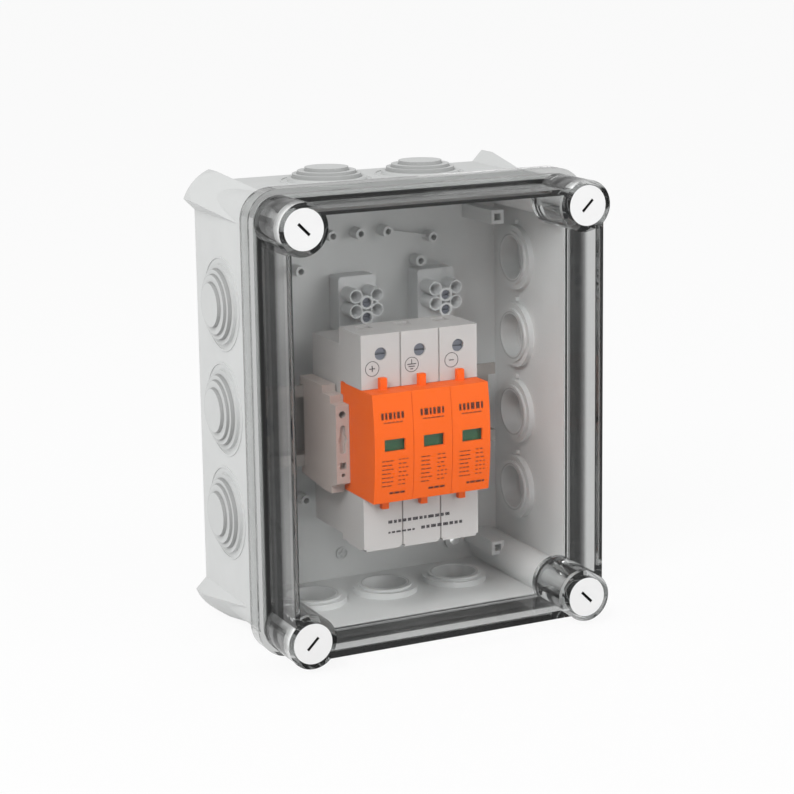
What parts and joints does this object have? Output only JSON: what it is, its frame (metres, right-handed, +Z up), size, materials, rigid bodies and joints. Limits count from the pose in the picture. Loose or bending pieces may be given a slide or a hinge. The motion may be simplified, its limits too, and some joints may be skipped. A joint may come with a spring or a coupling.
{
  "type": "surge protection box",
  "caption": "Wall box with a deep clear lid, stepped cable seals and a rail-mounted surge arrester with plug-in modules.",
  "frame": {"origin": "centre of the back face, in the wall plane", "axes": "+X to the right seen from the front, +Z up, -Y out of the wall towards the lid"},
  "size_m": [0.1524, 0.094, 0.1924],
  "materials": {
    "housing_grey": "fine satin, light grey",
    "gasket_grey": "foam rubber",
    "seal_grey": "soft satin, light grey",
    "clear_lid": "clear, slightly smoky",
    "rail_zinc": "zinc plated",
    "screw_dark": "dark plated",
    "arrester_white": "satin off-white",
    "contact_brass": "plain",
    "clip_beige": "satin beige",
    "block_grey": "satin mid grey",
    "module_orange": "satin orange",
    "carrier_grey": "matt dark grey",
    "varistor_blue": "resin coat",
    "blade_tin": "tin plated",
    "flag_two_colour": "green below, red above",
    "screw_white": "white nylon",
    "screw_zinc": "zinc plated"
  },
  "bodies": {
    "box": {"base_housing": "housing_grey", "lid_gasket": "gasket_grey", "seal_left_1": "seal_grey", "seal_left_2": "seal_grey", "seal_left_3": "seal_grey", "seal_top_1": "seal_grey", "seal_top_2": "seal_grey", "seal_right_1": "seal_grey", "seal_right_2": "seal_grey", "seal_right_3": "seal_grey", "seal_right_4": "seal_grey", "seal_bottom_1": "seal_grey", "seal_bottom_2": "seal_grey", "seal_bottom_3": "seal_grey", "din_rail": "rail_zinc", "rail_screws": "screw_dark", "arrester_base": "arrester_white", "link_bar": "contact_brass", "end_clip": "clip_beige", "pole_contact_1": "contact_brass", "pole_contact_2": "contact_brass", "pole_contact_3": "contact_brass", "block_body_left": "block_grey", "block_body_right": "block_grey", "block_bars_left": "contact_brass", "block_bars_right": "contact_brass"},
    "lid": {"lid": "clear_lid"},
    "lid_screw_top_left": {"lid_screw_top_left": "screw_white"},
    "lid_screw_top_right": {"lid_screw_top_right": "screw_white"},
    "lid_screw_bottom_left": {"lid_screw_bottom_left": "screw_white"},
    "lid_screw_bottom_right": {"lid_screw_bottom_right": "screw_white"},
    "module_1": {"module_shell_1": "module_orange", "module_carrier_1": "carrier_grey", "module_varistor_1": "varistor_blue", "module_blades_1": "blade_tin"},
    "status_flag_1": {"status_flag_1": "flag_two_colour"},
    "pole_screw_1": {"pole_screw_1": "screw_zinc"},
    "pole_clamp_1": {"pole_clamp_1": "screw_zinc"},
    "module_2": {"module_shell_2": "module_orange", "module_carrier_2": "carrier_grey", "module_varistor_2": "varistor_blue", "module_blades_2": "blade_tin"},
    "status_flag_2": {"status_flag_2": "flag_two_colour"},
    "pole_screw_2": {"pole_screw_2": "screw_zinc"},
    "pole_clamp_2": {"pole_clamp_2": "screw_zinc"},
    "module_3": {"module_shell_3": "module_orange", "module_carrier_3": "carrier_grey", "module_varistor_3": "varistor_blue", "module_blades_3": "blade_tin"},
    "status_flag_3": {"status_flag_3": "flag_two_colour"},
    "pole_screw_3": {"pole_screw_3": "screw_zinc"},
    "pole_clamp_3": {"pole_clamp_3": "screw_zinc"},
    "rail_latch": {"rail_latch": "arrester_white"},
    "block_screw_left_1": {"block_screw_left_1": "screw_zinc"},
    "block_screw_left_2": {"block_screw_left_2": "screw_zinc"},
    "block_screw_right_1": {"block_screw_right_1": "screw_zinc"},
    "block_screw_right_2": {"block_screw_right_2": "screw_zinc"}
  },
  "joints": [
    {"name": "lid_lift", "type": "slide", "parent": "box", "child": "lid", "axis": [0, -1, 0], "range_m": [0, 0.1]},
    {"name": "lid_screw_top_left_turn", "type": "hinge", "parent": "lid", "child": "lid_screw_top_left", "pos_m": [-0.0624, -0.09, 0.0824], "axis": [0, 1, 0], "range_deg": [-90, 0]},
    {"name": "lid_screw_top_right_turn", "type": "hinge", "parent": "lid", "child": "lid_screw_top_right", "pos_m": [0.0624, -0.09, 0.0824], "axis": [0, 1, 0], "range_deg": [-90, 0]},
    {"name": "lid_screw_bottom_left_turn", "type": "hinge", "parent": "lid", "child": "lid_screw_bottom_left", "pos_m": [-0.0624, -0.09, -0.0824], "axis": [0, 1, 0], "range_deg": [-90, 0]},
    {"name": "lid_screw_bottom_right_turn", "type": "hinge", "parent": "lid", "child": "lid_screw_bottom_right", "pos_m": [0.0624, -0.09, -0.0824], "axis": [0, 1, 0], "range_deg": [-90, 0]},
    {"name": "module_1_pull", "type": "slide", "parent": "box", "child": "module_1", "axis": [0, -1, 0], "range_m": [0, 0.01]},
    {"name": "status_flag_1_drop", "type": "slide", "parent": "module_1", "child": "status_flag_1", "axis": [0, 0, -1], "range_m": [0, 0.0055]},
    {"name": "pole_screw_1_turn", "type": "hinge", "parent": "box", "child": "pole_screw_1", "pos_m": [-0.01955, -0.066, 0.0254], "axis": [0, 1, 0], "range_deg": [0, 1080]},
    {"name": "pole_clamp_1_draw", "type": "slide", "parent": "box", "child": "pole_clamp_1", "axis": [0, -1, 0], "range_m": [0, 0.0024]},
    {"name": "module_2_pull", "type": "slide", "parent": "box", "child": "module_2", "axis": [0, -1, 0], "range_m": [0, 0.01]},
    {"name": "status_flag_2_drop", "type": "slide", "parent": "module_2", "child": "status_flag_2", "axis": [0, 0, -1], "range_m": [0, 0.0055]},
    {"name": "pole_screw_2_turn", "type": "hinge", "parent": "box", "child": "pole_screw_2", "pos_m": [-0.00205, -0.066, 0.0254], "axis": [0, 1, 0], "range_deg": [0, 1080]},
    {"name": "pole_clamp_2_draw", "type": "slide", "parent": "box", "child": "pole_clamp_2", "axis": [0, -1, 0], "range_m": [0, 0.0024]},
    {"name": "module_3_pull", "type": "slide", "parent": "box", "child": "module_3", "axis": [0, -1, 0], "range_m": [0, 0.01]},
    {"name": "status_flag_3_drop", "type": "slide", "parent": "module_3", "child": "status_flag_3", "axis": [0, 0, -1], "range_m": [0, 0.0055]},
    {"name": "pole_screw_3_turn", "type": "hinge", "parent": "box", "child": "pole_screw_3", "pos_m": [0.01545, -0.066, 0.0254], "axis": [0, 1, 0], "range_deg": [0, 1080]},
    {"name": "pole_clamp_3_draw", "type": "slide", "parent": "box", "child": "pole_clamp_3", "axis": [0, -1, 0], "range_m": [0, 0.0024]},
    {"name": "rail_latch_pull", "type": "slide", "parent": "box", "child": "rail_latch", "axis": [0, 0, -1], "range_m": [0, 0.0035]},
    {"name": "block_screw_left_1_turn", "type": "hinge", "parent": "box", "child": "block_screw_left_1", "pos_m": [-0.0035, -0.02, 0.0374], "axis": [0, -1, 0], "range_deg": [0, 720]},
    {"name": "block_screw_left_2_turn", "type": "hinge", "parent": "box", "child": "block_screw_left_2", "pos_m": [-0.0035, -0.02, 0.031], "axis": [0, -1, 0], "range_deg": [0, 720]},
    {"name": "block_screw_right_1_turn", "type": "hinge", "parent": "box", "child": "block_screw_right_1", "pos_m": [0.034, -0.02, 0.0374], "axis": [0, -1, 0], "range_deg": [0, 720]},
    {"name": "block_screw_right_2_turn", "type": "hinge", "parent": "box", "child": "block_screw_right_2", "pos_m": [0.034, -0.02, 0.031], "axis": [0, -1, 0], "range_deg": [0, 720]}
  ],
  "couplings": [
    {"joint": "pole_screw_1_turn", "follows": "pole_clamp_1_draw", "rad_per_m": 7854},
    {"joint": "pole_screw_2_turn", "follows": "pole_clamp_2_draw", "rad_per_m": 7854},
    {"joint": "pole_screw_3_turn", "follows": "pole_clamp_3_draw", "rad_per_m": 7854}
  ]
}
